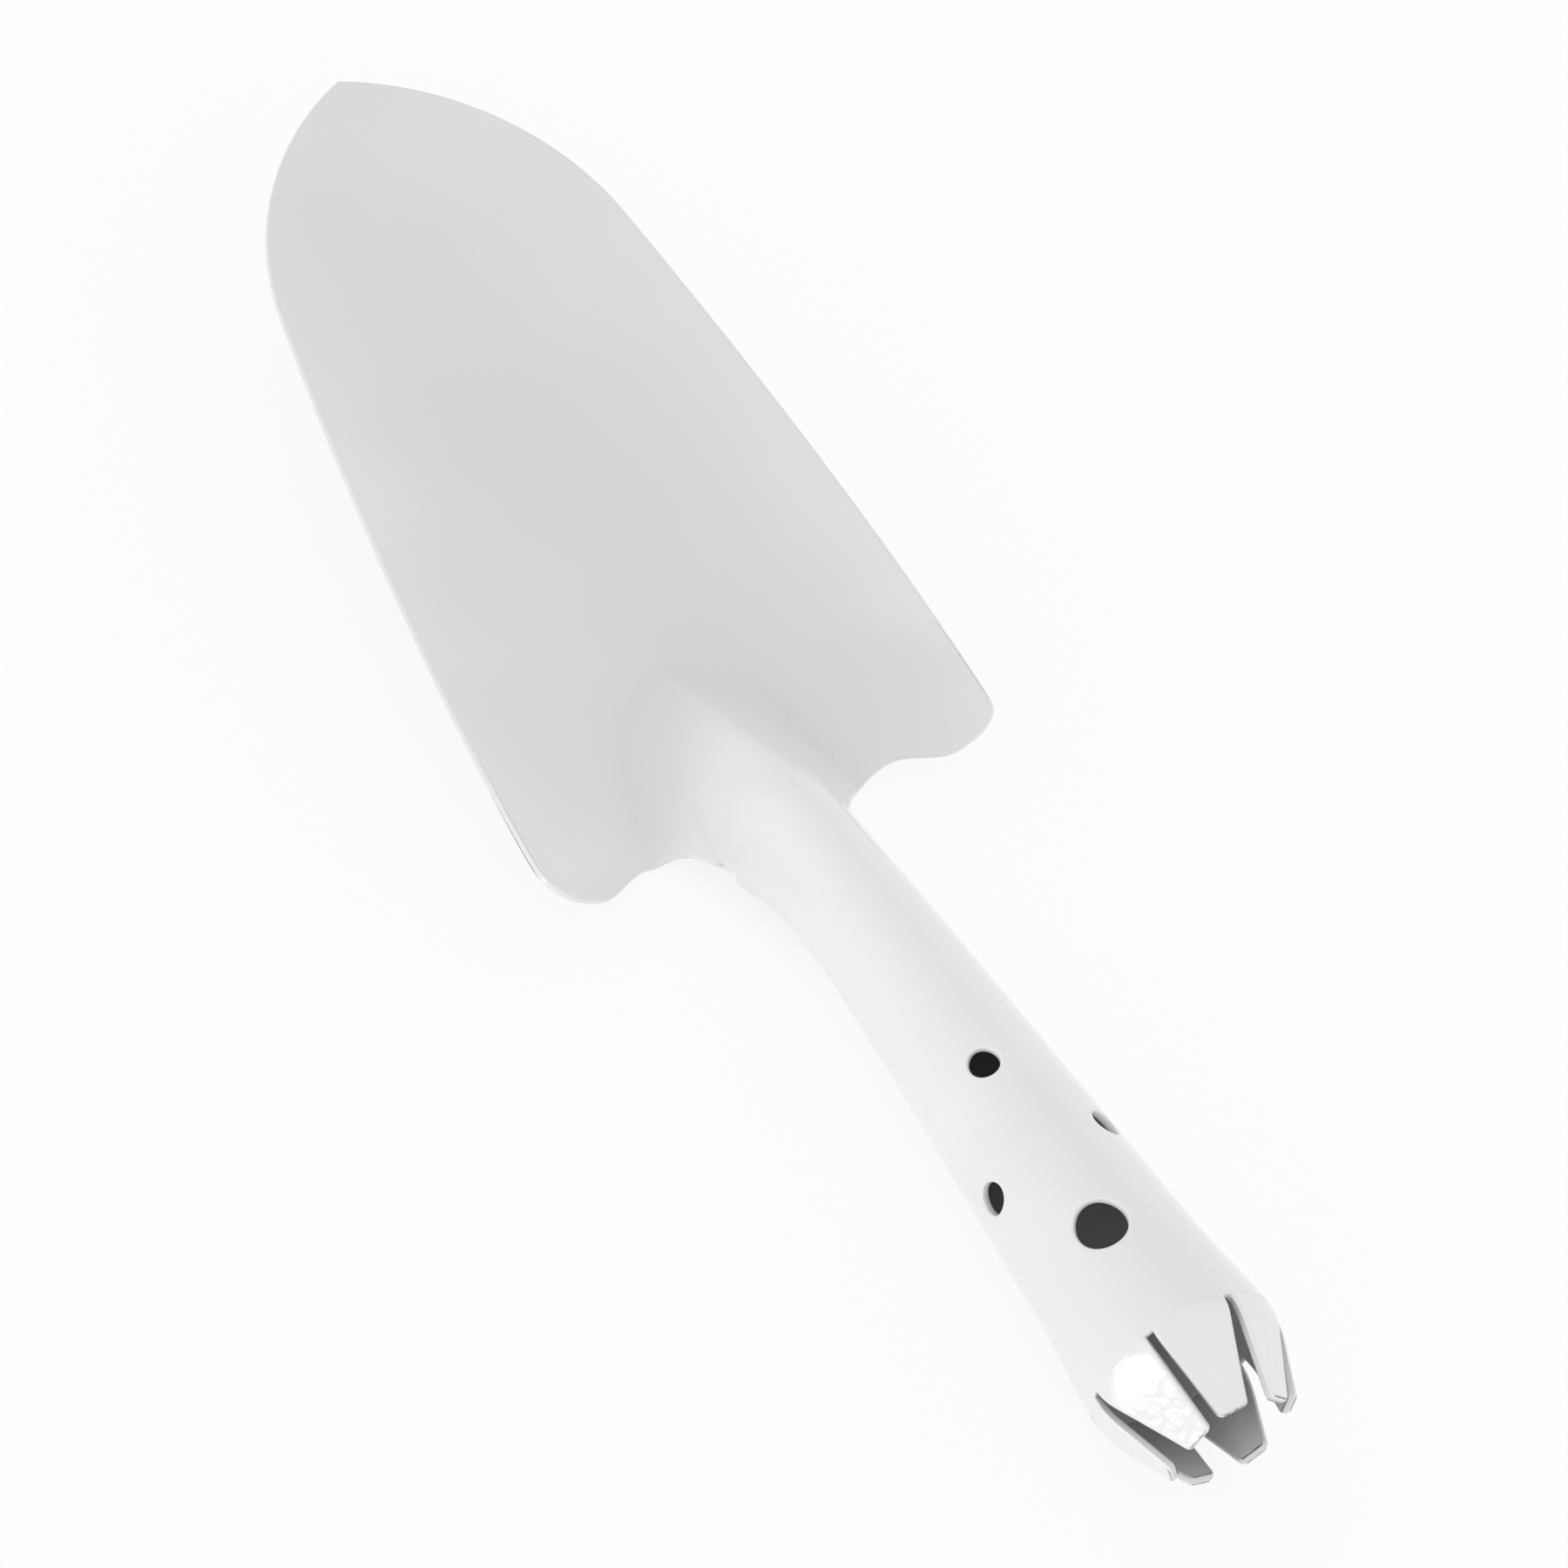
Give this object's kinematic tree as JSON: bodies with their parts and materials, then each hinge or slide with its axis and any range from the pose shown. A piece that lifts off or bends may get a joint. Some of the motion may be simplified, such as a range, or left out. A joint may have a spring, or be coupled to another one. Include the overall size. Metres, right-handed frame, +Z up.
{
  "type": "garden hand trowel",
  "caption": "Enamelled steel garden hand trowel with a dished pointed blade and a hollow tapered handle ending in a crown of bent teeth.",
  "frame": {"origin": "centre of the bounding box's bottom face, on the surface that the trowel lies on", "axes": "+X towards the blade's tip, +Y to the trowel's left, +Z up out of the blade's hollow, as it lies on its belly and the heel of its handle"},
  "size_m": [0.3072, 0.0916, 0.034],
  "materials": {
    "blade": "glossy light enamel on pressed steel",
    "handle_tube": "glossy light enamel on rolled steel",
    "neck_weld": "enamelled weld bead",
    "seam_weld": "enamelled weld bead"
  },
  "bodies": {
    "root": {"blade": "blade", "handle_tube": "handle_tube", "neck_weld": "neck_weld", "seam_weld": "seam_weld"}
  },
  "joints": []
}
